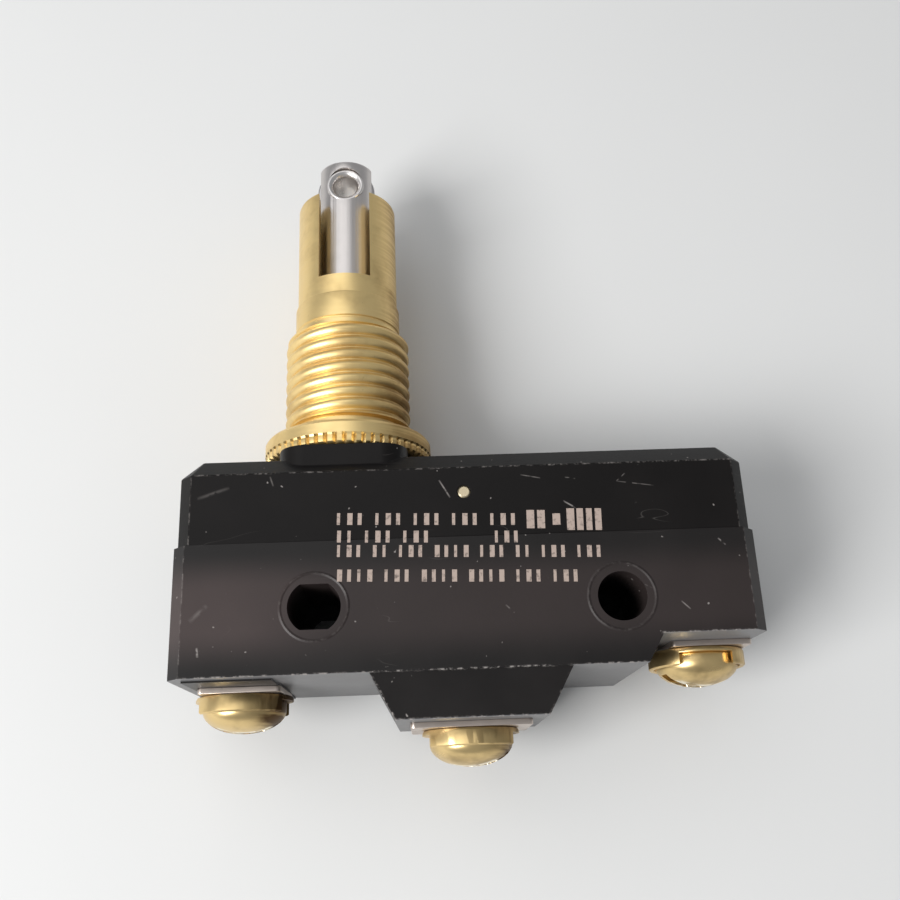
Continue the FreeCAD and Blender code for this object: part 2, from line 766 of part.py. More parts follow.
for side, x, face, shift, length, gaps_front, angle in (
    ("left", left_terminal, left_face, LEFT_PLATE_SHIFT, SIDE_PLATE_LENGTH, False, LEFT_SLOT_ANGLE),
    ("middle", MIDDLE_TERMINAL, middle_face, 0, MIDDLE_PLATE_LENGTH, False, MIDDLE_SLOT_ANGLE),
    ("right", right_terminal, right_face, RIGHT_PLATE_SHIFT, SIDE_PLATE_LENGTH, True, RIGHT_SLOT_ANGLE),
):
    save(side + "_plate", build_plate(x, face, shift, length))
    save(side + "_cup_washer", build_cup(x, face, gaps_front))
    save(side + "_terminal_screw", build_screw(x, face, angle))
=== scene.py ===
import math

import bmesh
import bpy
from mathutils import Matrix, Vector


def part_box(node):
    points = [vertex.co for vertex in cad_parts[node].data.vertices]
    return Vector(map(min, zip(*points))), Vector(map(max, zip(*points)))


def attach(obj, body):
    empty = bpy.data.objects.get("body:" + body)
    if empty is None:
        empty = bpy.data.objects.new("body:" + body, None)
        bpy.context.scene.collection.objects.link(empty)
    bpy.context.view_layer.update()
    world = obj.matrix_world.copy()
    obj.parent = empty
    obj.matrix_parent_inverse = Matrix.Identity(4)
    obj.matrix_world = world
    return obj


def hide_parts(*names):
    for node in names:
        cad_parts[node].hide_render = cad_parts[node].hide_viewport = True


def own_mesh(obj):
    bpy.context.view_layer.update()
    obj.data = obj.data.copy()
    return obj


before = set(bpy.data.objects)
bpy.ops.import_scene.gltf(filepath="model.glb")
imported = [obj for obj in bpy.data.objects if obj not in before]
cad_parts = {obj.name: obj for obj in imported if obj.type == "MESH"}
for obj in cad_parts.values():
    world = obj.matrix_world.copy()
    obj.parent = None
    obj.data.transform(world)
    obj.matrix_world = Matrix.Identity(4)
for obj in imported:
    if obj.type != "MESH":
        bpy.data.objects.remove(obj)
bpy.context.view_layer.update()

bl_info = {
    "name": "Roller plunger switch",
    "version": (1, 0, 0),
    "blender": (4, 5, 0),
    "location": "View3D > Sidebar > Switch",
    "description": "Models a panel-mount roller plunger switch with screw terminals",
    "category": "Add Mesh",
}

# Sizes in the code are in millimetres, and every helper turns them to metres with this.
MM = 0.001


def box_of(node):
    """The lowest and highest corners of a node in millimetres."""
    return tuple(tuple(value / MM for value in corner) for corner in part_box(node))


def middle_x(node):
    """The place along X of a node's middle, in millimetres."""
    low, high = box_of(node)
    return (low[0] + high[0]) / 2


base_low, base_high = box_of("case_base")
cover_low, cover_high = box_of("case_cover")
bushing_low, bushing_high = box_of("bushing")
plunger_low, plunger_high = box_of("plunger")
roller_low, roller_high = box_of("roller")
rivet_low, rivet_high = box_of("roller_pin")

DEPTH = base_high[2]
MID = DEPTH / 2
INK = 0.02
FACE = DEPTH - INK
AXIS_X = middle_x("bushing")
TIP = bushing_high[1]
ROLLER_Y = (roller_low[1] + roller_high[1]) / 2
SEAM = cover_low[1]
UNDERSIDE = -5.45
CASE_HALF = base_high[0]
COVER_HALF = cover_high[0]
COVER_TOP = 13.3
PAD_TOP = cover_high[1]
HOLE_X = 12.7
RING_RADIUS = 2.8
RIGHT_SEAT = -3.15
LEFT_SEAT = -5.65
RIVET_HEAD = 0.35
CUP_FLOOR = 0.45
SCREW_DOME = 1.9
PLUNGER_TRAVEL = 4.5
PIN_TRAVEL = 0.252

# The block between the outer terminals narrows downwards, in width and in depth
BLOCK_HALF = 8.25
BLOCK_FOOT_HALF = 6.3
BLOCK_LOW = -9.1
BLOCK_LEAN = 0.534
BLOCK_TAPER = 0.562

# The hollow in the case, its walls, the posts in it and the pin through it
CAVITY_HALF = 22.35
CAVITY_FLOOR = 3.3
CAVITY_TOP = 11.3
WALL = 2.2
POST_RADIUS = 2.8
POSTS = ((-19.6, LEFT_SEAT), (0, BLOCK_LOW), (20.4, RIGHT_SEAT))
PIN_Y = 9.4
PIN_RADIUS = 0.55
ROUND_HOLE_RADIUS = 2.05
LONG_HOLE_RADIUS = 2.2
LONG_HOLE_FLAT = 1.875

# The bushing's levels and radii that more than one step needs
FLANGE_TOP = 16.9
THREAD_START = 18.0
THREAD_END = 27.75
THREAD_CORE = 5.56
THREAD_RADIUS = 5.97
SLOT_FLOOR = 33.0
SLOT_HALF = 2.5
SLEEVE_BORE = 3.4
GUIDE_BORE = 2.97

# The roller and the rivet that it turns on
ROLLER_HALF = 1.2
FORK_GAP_HALF = 1.3
RIVET_BORE = 1.2
RIVET_SHANK = 1.6

# The terminals: how far each screw's slot is turned, and how strongly shade is painted on its
# brass towards the right
SCREW_TURNS = {"left": 8, "middle": -12, "right": 12}
RIGHT_SHADE = {"left": 1.2, "middle": 0.85, "right": 0.4}
TERMINAL_HOLE = 1.8
CUP_GAP_HALF = 2.3
SCREW_SLOT_HALF = 0.475
SCREW_SLOT_DEPTH = 1.1

DOWNWARD_TINT = (0.17, 0.167, 0.17)
SHEEN_TINT = (0.052, 0.038, 0.036)
RUBBED_AND_LIT_TINT = (0.36, 0.33, 0.31)
SIDES = ("left", "middle", "right")

# Scratches on the front face: where each starts and ends, its half width and its strength
COVER_CUTS = (
    ((-2.1, 10.5), (-1.2, 8.9), 0.09, 0.8),
    ((8.4, 8.3), (9.5, 7.6), 0.09, 0.8),
    ((13.9, 10.6), (13.1, 9.9), 0.06, 0.5),
    ((13.1, 9.9), (16.4, 9.4), 0.06, 0.4),
    ((4.9, 10.75), (6.6, 10.4), 0.07, 0.5),
    ((8.7, 10.4), (9.6, 10.25), 0.07, 0.5),
    ((-22.6, 9.5), (-19.9, 10.4), 0.2, 0.2),
    ((-16.5, 11.3), (-16.2, 10.4), 0.09, 0.35),
)
BASE_CUTS = (
    ((17.5, -0.6), (18.2, -1.3), 0.08, 0.6),
    ((21.2, 4.6), (21.8, 4.0), 0.09, 0.8),
    ((3.0, -0.4), (3.7, -1.1), 0.08, 0.4),
    ((-22.8, -0.9), (-21.4, 0.4), 0.25, 0.22),
    ((-22.1, -3.0), (-22.0, -3.8), 0.12, 0.9),
    ((14.6, 0.9), (15.6, 0.3), 0.06, 0.25),
)

# Rows of print: where each starts and ends, its height on the face and its groups of bars.
PRINT_ROWS = (
    (-11.05, 4.5, 6.97, (3, 3, 3, 3, 3)),
    (-10.99, -2.85, 5.45, (2, 3, 3)),
    (2.24, 4.65, 5.45, (3,)),
    (-10.95, 11.55, 4.21, (3, 2, 3, 4, 3, 2, 3, 3)),
    (-10.88, 9.55, 2.13, (4, 3, 4, 4, 3, 3)),
)
# The marks beside the first row, as plain blocks: left and right ends and half the height.
PRINT_MARKS = (
    (4.95, 5.6, 0.8),
    (5.85, 6.5, 0.8),
    (7.15, 7.8, 0.5),
    (8.35, 9.0, 0.95),
    (9.2, 9.75, 0.95),
    (10.0, 10.5, 0.95),
    (10.75, 11.3, 0.95),
)
MARK_Y = 6.97
PRINT_TILT = -1.97

# The turn that lays a primitive along an axis
TURNS = {"X": (0, math.pi / 2, 0), "Y": (-math.pi / 2, 0, 0), "Z": (0, 0, 0)}


# Sizes and colours that a user would change


class CaseSettings(bpy.types.PropertyGroup):
    corner_bevel: bpy.props.FloatProperty(
        name="Corner bevel",
        description="Width of the bevel on the upright corners of the case",
        default=1.1 * MM,
        unit="LENGTH",
    )
    top_bevel: bpy.props.FloatProperty(
        name="Top bevel",
        description="Width of the bevel round the top of the cover",
        default=1.7 * MM,
        unit="LENGTH",
    )
    edge_round: bpy.props.FloatProperty(
        name="Edge rounding",
        description="Width of the small rounding that moulding leaves on each edge",
        default=0.12 * MM,
        unit="LENGTH",
    )
    colour: bpy.props.FloatVectorProperty(
        name="Moulding",
        description="Colour of the moulded case",
        subtype="COLOR",
        size=3,
        default=(0.0075, 0.0063, 0.006),
    )
    # The wear also scales the painted highlights on the case's edges.
    wear_and_highlight: bpy.props.FloatProperty(
        name="Wear",
        description="Strength of the pale rubbed edges and scratches",
        default=1.0,
        min=0.0,
        max=2.0,
        subtype="FACTOR",
    )


class BushingSettings(bpy.types.PropertyGroup):
    pitch: bpy.props.FloatProperty(
        name="Thread pitch",
        description="Distance between two turns of the thread",
        default=1.25 * MM,
        unit="LENGTH",
    )
    teeth: bpy.props.IntProperty(
        name="Knurl teeth",
        description="Number of teeth round the edge of the flange",
        default=57,
    )
    colour: bpy.props.FloatVectorProperty(
        name="Brass",
        description="Colour of the turned brass",
        subtype="COLOR",
        size=3,
        default=(0.94, 0.71, 0.33),
    )


class PlungerSettings(bpy.types.PropertyGroup):
    colour: bpy.props.FloatVectorProperty(
        name="Steel",
        description="Colour of the polished steel",
        subtype="COLOR",
        size=3,
        default=(0.66, 0.625, 0.605),
    )
    edge_break: bpy.props.FloatProperty(
        name="Broken edge",
        description="Width of the small bevel on machined steel edges",
        default=0.07 * MM,
        unit="LENGTH",
    )


class TerminalSettings(bpy.types.PropertyGroup):
    screw_colour: bpy.props.FloatVectorProperty(
        name="Screw brass",
        description="Colour of the terminal screws and cup washers",
        subtype="COLOR",
        size=3,
        default=(0.82, 0.61, 0.29),
    )
    plate_colour: bpy.props.FloatVectorProperty(
        name="Plate metal",
        description="Colour of the terminal plates",
        subtype="COLOR",
        size=3,
        default=(0.62, 0.54, 0.48),
    )


class PrintSettings(bpy.types.PropertyGroup):
    bar_height: bpy.props.FloatProperty(
        name="Bar height",
        description="Height of the plain printed bars",
        default=1.02 * MM,
        unit="LENGTH",
    )
    colour: bpy.props.FloatVectorProperty(
        name="Print",
        description="Colour of the plain printed bars",
        subtype="COLOR",
        size=3,
        default=(0.42, 0.33, 0.28),
    )


class StageSettings(bpy.types.PropertyGroup):
    floor_colour: bpy.props.FloatVectorProperty(
        name="Floor",
        description="Colour of the floor under the switch",
        subtype="COLOR",
        size=3,
        default=(0.72, 0.72, 0.71),
    )


# Selecting, moving and shaping


def clear_selection():
    """Leave edit mode and deselect every object."""
    if bpy.context.mode != "OBJECT":
        bpy.ops.object.mode_set(mode="OBJECT")
    bpy.ops.object.select_all(action="DESELECT")


def pick(piece):
    """Make one piece the only selected object."""
    clear_selection()
    piece.select_set(True)
    bpy.context.view_layer.objects.active = piece


def apply_transform():
    """Put the selected piece's place, turn and scale into its mesh."""
    bpy.ops.object.transform_apply(location=True, rotation=True, scale=True)


def settle(name):
    """Name the primitive just added and put its place into its mesh."""
    piece = bpy.context.active_object
    piece.name = name
    piece.data.name = name
    apply_transform()
    return piece


def add_block(name, low, high):
    """A box between two opposite corners."""
    clear_selection()
    centre = [(a + b) / 2 * MM for a, b in zip(low, high)]
    bpy.ops.mesh.primitive_cube_add(size=1, location=centre)
    bpy.context.active_object.scale = [(b - a) * MM for a, b in zip(low, high)]
    return settle(name)


def add_bar(name, axis, start, radius, length, sides=64):
    """A round bar from a point along an axis."""
    clear_selection()
    centre = Vector(start)
    centre["XYZ".index(axis)] += length / 2
    bpy.ops.mesh.primitive_cylinder_add(
        vertices=sides,
        radius=radius * MM,
        depth=length * MM,
        location=centre * MM,
        rotation=TURNS[axis],
    )
    return settle(name)


def add_turned(name, axis, centre, profile, sides=96):
    """A turned piece: a ring extruded from step to step along its axis.

    The profile lists radius and place along the axis. One that ends where it starts makes a
    bored piece, and any other is closed with a flat face at each end.
    """
    clear_selection()
    along = "XYZ".index(axis)
    ring = Vector(centre)
    ring[along] = profile[0][1]
    bpy.ops.mesh.primitive_circle_add(
        vertices=sides,
        radius=profile[0][0] * MM,
        location=ring * MM,
        rotation=TURNS[axis],
    )
    piece = settle(name)
    bpy.ops.object.mode_set(mode="EDIT")
    bpy.ops.mesh.select_mode(type="EDGE")
    bpy.ops.mesh.select_all(action="SELECT")
    radius, place = profile[0]
    for next_radius, next_place in profile[1:]:
        step = [0.0, 0.0, 0.0]
        step[along] = (next_place - place) * MM
        bpy.ops.mesh.extrude_region_move(TRANSFORM_OT_translate={"value": step})
        ratio = [next_radius / radius] * 3
        ratio[along] = 1.0
        ring[along] = next_place
        bpy.ops.transform.resize(value=ratio, center_override=ring * MM)
        radius, place = next_radius, next_place
    bpy.ops.mesh.select_all(action="SELECT")
    bpy.ops.mesh.remove_doubles(threshold=2e-6)
    if profile[0] != profile[-1]:
        bpy.ops.mesh.fill_holes(sides=0)
    face_outward()
    return piece


def mirrored(half, middle):
    """A profile from its one half, which lists radius and distance from the middle."""
    lower = [(radius, middle - reach) for radius, reach in half]
    return lower + [(radius, middle + reach) for radius, reach in reversed(half)]


def face_outward():
    """Turn every face outward, and leave edit mode."""
    bpy.ops.mesh.select_all(action="SELECT")
    bpy.ops.mesh.normals_make_consistent(inside=False)
    bpy.ops.object.mode_set(mode="OBJECT")


def wind(piece, pitch, turns, steps):
    """Wind a closed outline up the bushing's axis, and close both ends of what it sweeps."""
    apply_modifier(
        piece,
        "SCREW",
        axis="Y",
        screw_offset=pitch * MM,
        iterations=turns,
        steps=steps,
        render_steps=steps,
        use_merge_vertices=True,
    )
    pick(piece)
    bpy.ops.object.mode_set(mode="EDIT")
    bpy.ops.mesh.select_all(action="SELECT")
    bpy.ops.mesh.fill_holes(sides=0)
    face_outward()
    piece.location = (AXIS_X * MM, 0, MID * MM)
    apply_transform()


def open_mesh(piece, kind):
    """Enter edit mode with nothing selected, and give the mesh."""
    pick(piece)
    bpy.ops.object.mode_set(mode="EDIT")
    bpy.ops.mesh.select_mode(type=kind)
    bpy.ops.mesh.select_all(action="DESELECT")
    return bmesh.from_edit_mesh(piece.data)


def select_vertices(piece, test):
    """Enter edit mode with the vertices chosen by a test on their place in millimetres."""
    mesh = open_mesh(piece, "VERT")
    for vertex in mesh.verts:
        vertex.select = bool(test(vertex.co / MM))
    mesh.select_flush(True)
    bmesh.update_edit_mesh(piece.data)


def select_edges(piece, test):
    """Enter edit mode with the edges chosen by a test on their two ends in millimetres."""
    mesh = open_mesh(piece, "EDGE")
    for edge in mesh.edges:
        ends = [vertex.co / MM for vertex in edge.verts]
        edge.select_set(bool(test(ends[0], ends[1])))
    bmesh.update_edit_mesh(piece.data)


def bevel_edges(piece, test, width, segments=1):
    """Bevel the chosen edges by a width."""
    select_edges(piece, test)
    bpy.ops.mesh.bevel(offset=width * MM, segments=segments, affect="EDGES")
    bpy.ops.object.mode_set(mode="OBJECT")


def move_vertices(piece, test, step):
    """Move the chosen vertices."""
    select_vertices(piece, test)
    bpy.ops.transform.translate(value=[value * MM for value in step])
    bpy.ops.object.mode_set(mode="OBJECT")


def resize_vertices(piece, test, ratio, centre):
    """Scale the chosen vertices about a centre."""
    select_vertices(piece, test)
    bpy.ops.transform.resize(value=ratio, center_override=[value * MM for value in centre])
    bpy.ops.object.mode_set(mode="OBJECT")


def runs_along(axis):
    """A test for straight edges that run along an axis."""
    others = [index for index in range(3) if index != "XYZ".index(axis)]
    return lambda a, b: all(abs(a[index] - b[index]) < 0.001 for index in others)


def apply_modifier(piece, kind, **settings):
    """Add a modifier, set it and apply it."""
    pick(piece)
    modifier = piece.modifiers.new("Shaping", kind)
    for key, value in settings.items():
        setattr(modifier, key, value)
    bpy.ops.object.modifier_apply(modifier=modifier.name)


def combine(piece, tool, operation="DIFFERENCE"):
    """Cut a piece with a tool, join them or keep what they share, and remove the tool."""
    apply_modifier(piece, "BOOLEAN", object=tool, operation=operation, solver="EXACT")
    bpy.data.objects.remove(tool)
    return piece


def soften(piece, width, segments=2, angle=30):
    """Round each sharp edge a little and shade the piece smoothly between them."""
    apply_modifier(
        piece,
        "BEVEL",
        width=width * MM,
        segments=segments,
        limit_method="ANGLE",
        angle_limit=math.radians(angle),
        miter_outer="MITER_ARC",
    )
    shade(piece)
    apply_modifier(piece, "WEIGHTED_NORMAL", keep_sharp=True, weight=50)


def shade(piece, angle=32):
    """Shade smoothly across angles below a limit."""
    pick(piece)
    bpy.ops.object.shade_smooth_by_angle(angle=math.radians(angle))


def finish_piece(piece, body, material, slot, *nodes):
    """Give a piece its material, its body and the solids that it stands for. The slot is not used.
    """
    piece.data.materials.clear()
    piece.data.materials.append(material)
    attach(piece, body)
    if nodes:
        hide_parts(*nodes)
    return piece


# Materials


class Wire:
    """A value or colour in a material, on which plain arithmetic adds Math nodes."""

    def __init__(self, shader, socket):
        self.shader = shader
        self.socket = socket

    def math(self, operation, *others, clamp=False):
        sockets = {index + 1: other for index, other in enumerate(others)}
        return self.shader.node(
            "ShaderNodeMath", {0: self, **sockets}, operation=operation, use_clamp=clamp
        )

    def __add__(self, other):
        return self.math("ADD", other)

    __radd__ = __add__

    def __sub__(self, other):
        return self.math("SUBTRACT", other)

    def __rsub__(self, other):
        return (self * -1) + other

    def __mul__(self, other):
        return self.math("MULTIPLY", other)

    __rmul__ = __mul__

    def __truediv__(self, other):
        return self.math("DIVIDE", other)

    def __pow__(self, other):
        return self.math("POWER", other)

    def __abs__(self):
        return self.math("ABSOLUTE")

    def most(self, *others):
        """The greatest of this and the others."""
        wire = self
        for other in others:
            wire = wire.math("MAXIMUM", other)
        return wire

    def capped(self):
        """This, but never more than 1."""
        return self.math("MINIMUM", 1.0)

    def near(self, place, width):
        """1 at a place, falling to 0 at a width away on either side."""
        return (1 - abs(self - place) / width).most(0.0)

    def step(self, low, high):
        """0 below a low value and 1 above a high one, smooth between."""
        ranged = {"Value": self, "From Min": low, "From Max": high}
        return self.shader.node("ShaderNodeMapRange", ranged, interpolation_type="SMOOTHSTEP")


class Shader:
    """A material under construction, round one Principled shader."""

    def __init__(self, name):
        self.material = bpy.data.materials.new(name)
        self.material.use_nodes = True
        self.tree = self.material.node_tree
        self.surface = self.tree.nodes["Principled BSDF"]
        self.place = self.node("ShaderNodeTexCoord", output="Object")

    def node(self, kind, sockets=None, output=0, **settings):
        """Add a node: its settings first, then the values or links."""
        made = self.tree.nodes.new(kind)
        for key, value in settings.items():
            setattr(made, key, value)
        for key, value in (sockets or {}).items():
            self.feed(made.inputs[key], value)
        return Wire(self, made.outputs[output])

    def feed(self, socket, value):
        """Link a wire to a socket, or set its value."""
        if isinstance(value, Wire):
            self.tree.links.new(value.socket, socket)
        elif hasattr(socket.default_value, "__len__") and len(value) < len(socket.default_value):
            socket.default_value = (*value, 1.0)
        else:
            socket.default_value = value

    def set(self, **values):
        """Set or link sockets of the surface, named with underscores for spaces."""
        for key, value in values.items():
            self.feed(self.surface.inputs[key.replace("_", " ")], value)

    def axis(self, letter):
        """The place along one axis, in millimetres."""
        split = self.node("ShaderNodeSeparateXYZ", {0: self.place}, output="XYZ".index(letter))
        return split / MM

    def noise(self, scale, detail=3.0, roughness=0.5, stretch=None):
        """Soft noise with a number of features to the metre, stretched where asked."""
        place = self.place
        if stretch:
            place = self.node("ShaderNodeVectorMath", {0: place, 1: stretch}, operation="MULTIPLY")
        sockets = {"Vector": place, "Scale": scale, "Detail": detail, "Roughness": roughness}
        return self.node("ShaderNodeTexNoise", sockets)

    def mix(self, factor, first, second):
        """A mix of two colours."""
        sockets = {0: factor, 6: first, 7: second}
        return self.node("ShaderNodeMix", sockets, output=2, data_type="RGBA")

    def bump(self, height, depth):
        """A relief of a depth in millimetres from a height between 0 and 1."""
        sockets = {"Height": height, "Distance": depth * MM, "Strength": 1.0}
        self.set(Normal=self.node("ShaderNodeBump", sockets))


def make_phenolic(
    name, tint, wear_and_highlight, marks, cuts, rings=None, downward=None, painted_sheen=None, shine=0.28
):
    """Black moulded plastic with rubbed edges, a few scratches, light grey downward faces, and
    painted highlights and sheen.

    The marks, rings and two further functions each make a wire between 0 and 1: where the case
    is rubbed pale or a highlight is painted on an edge, where it has a raised ring, where a face
    that looks down is painted light grey, and where sheen is painted lighter and browner. Where
    marks gives more than 1, the edge is pale without a break. The cuts are the scratches on the
    front face.
    """
    shader = Shader(name)
    cloud = shader.noise(140, detail=4)
    fine = shader.noise(2600, detail=2)
    speck = shader.noise(1900, detail=1, roughness=0.6).step(0.76, 0.8)
    hairline = shader.noise(260, detail=1, stretch=(0.5, 2.2, 1)).near(0.5, 0.004)
    patch = shader.noise(230, detail=1).step(0.62, 0.7)
    scratch = (hairline * patch * 0.12).most(front_scratches(shader, cuts))
    rubbed_and_lit = marks(shader)
    broken = shader.noise(2100, detail=3, roughness=0.75).step(0.46, 0.66)
    edge = (rubbed_and_lit.capped() * broken).most(rubbed_and_lit - 1.0)
    pale = (edge * wear_and_highlight).most(scratch * wear_and_highlight).math("MAXIMUM", speck * 0.6, clamp=True)
    body = shader.mix(cloud.step(0.35, 0.7), tint, tuple(1.4 * c for c in tint))
    relief = fine * 0.5 + cloud * 0.4 - scratch
    # Painted sheen: the front face of the base is painted lighter and browner, most at its left
    # end.
    if painted_sheen:
        sheen_strength = painted_sheen(shader) * (0.7 + shader.noise(110, detail=3) * 0.6)
        body = shader.mix(sheen_strength.capped(), body, SHEEN_TINT)
    # The faces of the base that look down are painted light grey.
    if downward:
        flat = downward(shader) * (0.75 + shader.noise(500, detail=4, roughness=0.7) * 0.4)
        body = shader.mix(flat.capped(), body, DOWNWARD_TINT)
    if rings:
        relief = relief + rings(shader) * 6
    shader.set(Base_Color=shader.mix(pale, body, RUBBED_AND_LIT_TINT))
    shader.set(Roughness=0.34 + cloud * 0.14 + pale * 0.3)
    shader.bump(relief, 0.012)
    shader.set(Specular_IOR_Level=shine)
    return shader.material


def front_scratches(shader, cuts):
    """The scratches on the front face: each a straight stroke that fades at its ends."""
    x = shader.axis("X")
    y = shader.axis("Y")
    ragged = shader.noise(1500, detail=2).step(0.36, 0.52)
    total = None
    for start, end, half_width, strength in cuts:
        length = math.hypot(end[0] - start[0], end[1] - start[1])
        along = ((end[0] - start[0]) / length, (end[1] - start[1]) / length)
        travel = (x - start[0]) * along[0] + (y - start[1]) * along[1]
        aside = (x - start[0]) * along[1] - (y - start[1]) * along[0]
        ends = travel.near(length / 2, length / 2) ** 0.4
        stroke = aside.near(0, half_width) * ends * strength
        total = stroke if total is None else total.most(stroke)
    return total * ragged * shader.axis("Z").step(FACE - 0.3, FACE - 0.1)


def case_rings(shader):
    """1 on the thin raised ring round each mounting hole."""
    y = shader.axis("Y")
    front = shader.axis("Z").step(FACE - 0.2, FACE - 0.1)
    rings = []
    for x in (HOLE_X, -HOLE_X):
        across = shader.axis("X") - x
        rings.append(((across * across + y * y) ** 0.5).near(RING_RADIUS, 0.16))
    return (rings[0] + rings[1]) * front


def case_sheen(shader):
    """1 where sheen is painted: the middle of the front face of the base, and more so at its left
    end.
    """
    y = shader.axis("Y")
    band = y.step(UNDERSIDE + 0.2, -1.5) * y.step(SEAM - 0.6, 1.5)
    left = shader.axis("X").step(-9.0, -21.0)
    return band * (0.45 + left * 0.55) * shader.axis("Z").step(MID, FACE - 0.3)


def case_edges(shader):
    """1 along the edges of the base that are rubbed pale, and over 1 along the block's left
    slanted edge, where a highlight is painted without a break.
    """
    x = shader.axis("X")
    y = shader.axis("Y")
    z = abs(shader.axis("Z") - MID)
    front = z.step(MID - 0.3, MID - 0.1)
    lower = y.near(UNDERSIDE, 0.15) * front * x.step(CASE_HALF - 9.8, CASE_HALF - 10.2)
    right = y.near(RIGHT_SEAT, 0.15) * front * x.step(15.5, 15.9)
    end = abs(x).near(CASE_HALF - 1.1, 0.1) * front * 0.3
    slope = abs(x) + (y - UNDERSIDE) * -BLOCK_LEAN - BLOCK_HALF
    sides = slope.near(0.0, 0.2) * y.step(UNDERSIDE + 0.1, UNDERSIDE - 0.1)
    taper = (z - MID - (y - UNDERSIDE) * BLOCK_TAPER).near(0.0, 0.35)
    # Painted highlight: the block's left slanted edge, which faces the light, is made much
    # stronger than its right one.
    sides = sides * (x.step(1.0, -1.0) * 1.4 + 0.4) * taper
    foot = y.near(base_low[1], 0.2) * z.near(MID - 2.05, 0.3)
    return lower.most(right, end, sides, foot * 0.9, case_rings(shader) * 0.1)


def downward_faces(shader):
    """1 on the faces of the base that look down at the terminals, which are painted light grey."""
    x = shader.axis("X")
    y = shader.axis("Y")
    low = y.near(UNDERSIDE, 0.06) * abs(x).step(8.0, 8.4)
    block = y.step(BLOCK_LOW + 0.1, BLOCK_LOW + 0.04)
    right = y.near(RIGHT_SEAT, 0.06) * x.step(15.6, 15.9)
    return low.most(block, right)


def cover_edges(shader):
    """1 along the edges of the cover that are rubbed pale, with a faint painted highlight along
    each end bevel.
    """
    x = abs(shader.axis("X"))
    y = shader.axis("Y")
    z = abs(shader.axis("Z") - MID)
    front = z.step(MID - 0.35, MID - 0.1)
    upper = y.near(COVER_TOP - 1.7, 0.12) * front
    # Painted highlight: a faint pale line along each end bevel.
    end = x.near(COVER_HALF - 1.1, 0.1) * front
    ridge = y.near(COVER_TOP, 0.12) * z.near(MID - 1.7, 0.2)
    return (upper * 0.5).most(end * 0.3, ridge * 0.2)


def make_metal(
    name, colour, roughness, turning, tarnish=0.0, dark=None, bump=0.006, burr_glint=None, painted_shade=None
):
    """Machined metal with fine tool marks, a little tarnish, and painted highlights and shade
    where asked.

    The turning is the stretch of the marks: large along the axis that the tool moved along. Two
    further functions each make a wire between 0 and 1: one where a highlight is painted on
    raised burrs, and one where shade is painted as darker, browner metal.
    """
    shader = Shader(name)
    cloud = shader.noise(170, detail=4, roughness=0.6)
    marks = shader.noise(60, detail=3, roughness=0.6, stretch=turning)
    pits = shader.noise(1700, detail=2, roughness=0.7).step(0.68, 0.8)
    shade_colour = dark or tuple(0.55 * c for c in colour)
    mask = cloud.step(0.45, 0.75) * tarnish + pits * (0.35 * tarnish)
    # Painted shade: where asked, the metal is painted darker and browner on top of its tarnish.
    if painted_shade:
        mask = mask + painted_shade(shader) * (0.6 + marks.step(0.35, 0.65) * 0.5)
    mask = mask.capped()
    face = shader.mix(mask, colour, shade_colour)
    relief = marks + pits * -0.3
    if burr_glint:
        # Painted highlight: pale glints on the burrs, whose lumps also raise the relief.
        lumps = shader.noise(1100, detail=2, roughness=0.6)
        glint = (burr_glint(shader) * lumps.step(0.4, 0.5)).capped()
        face = shader.mix(glint, face, (1.0, 0.92, 0.74))
        relief = relief + glint * lumps * 12
    shader.set(Base_Color=face)
    shader.set(Metallic=1.0)
    shader.set(Roughness=roughness + (marks - 0.5) * 0.22 + mask * 0.18)
    shader.bump(relief, bump)
    return shader.material


def make_ivory(name):
    """Ivory moulded plastic with a soft sheen."""
    shader = Shader(name)
    cloud = shader.noise(400, detail=3)
    shader.set(Base_Color=shader.mix(cloud, (0.72, 0.66, 0.52), (0.8, 0.75, 0.63)))
    shader.set(Roughness=0.4 + cloud * 0.12)
    shader.bump(shader.noise(3000, detail=2), 0.004)
    return shader.material


def make_ink(name, colour):
    """Pale printed ink, thin and worn in places."""
    shader = Shader(name)
    worn = shader.noise(2400, detail=3, roughness=0.7).step(0.5, 0.72)
    shader.set(Base_Color=shader.mix(worn, colour, tuple(0.35 * c for c in colour)))
    shader.set(Roughness=0.55 + worn * 0.15)
    return shader.material


# Case


def cut_round_hole(piece, low, high):
    """The plain mounting hole."""
    start = (HOLE_X, 0, low - 1)
    combine(piece, add_bar("hole_tool", "Z", start, ROUND_HOLE_RADIUS, high - low + 2))


def cut_long_hole(piece, low, high):
    """The mounting hole with two flats."""
    start = (-HOLE_X, 0, low - 1)
    tool = add_bar("hole_tool", "Z", start, LONG_HOLE_RADIUS, high - low + 2)
    start = (-HOLE_X - 3, -LONG_HOLE_FLAT, low - 2)
    flats = add_block("flat_tool", start, (-HOLE_X + 3, LONG_HOLE_FLAT, high + 2))
    combine(tool, flats, "INTERSECT")
    combine(piece, tool)


def cut_pin_hole(piece):
    """The hole that the cover pin goes through, a little wider than the pin."""
    tool = add_bar("pin_tool", "Z", (0, PIN_Y, -1), PIN_RADIUS + 0.01, DEPTH + 2, 32)
    combine(piece, tool)


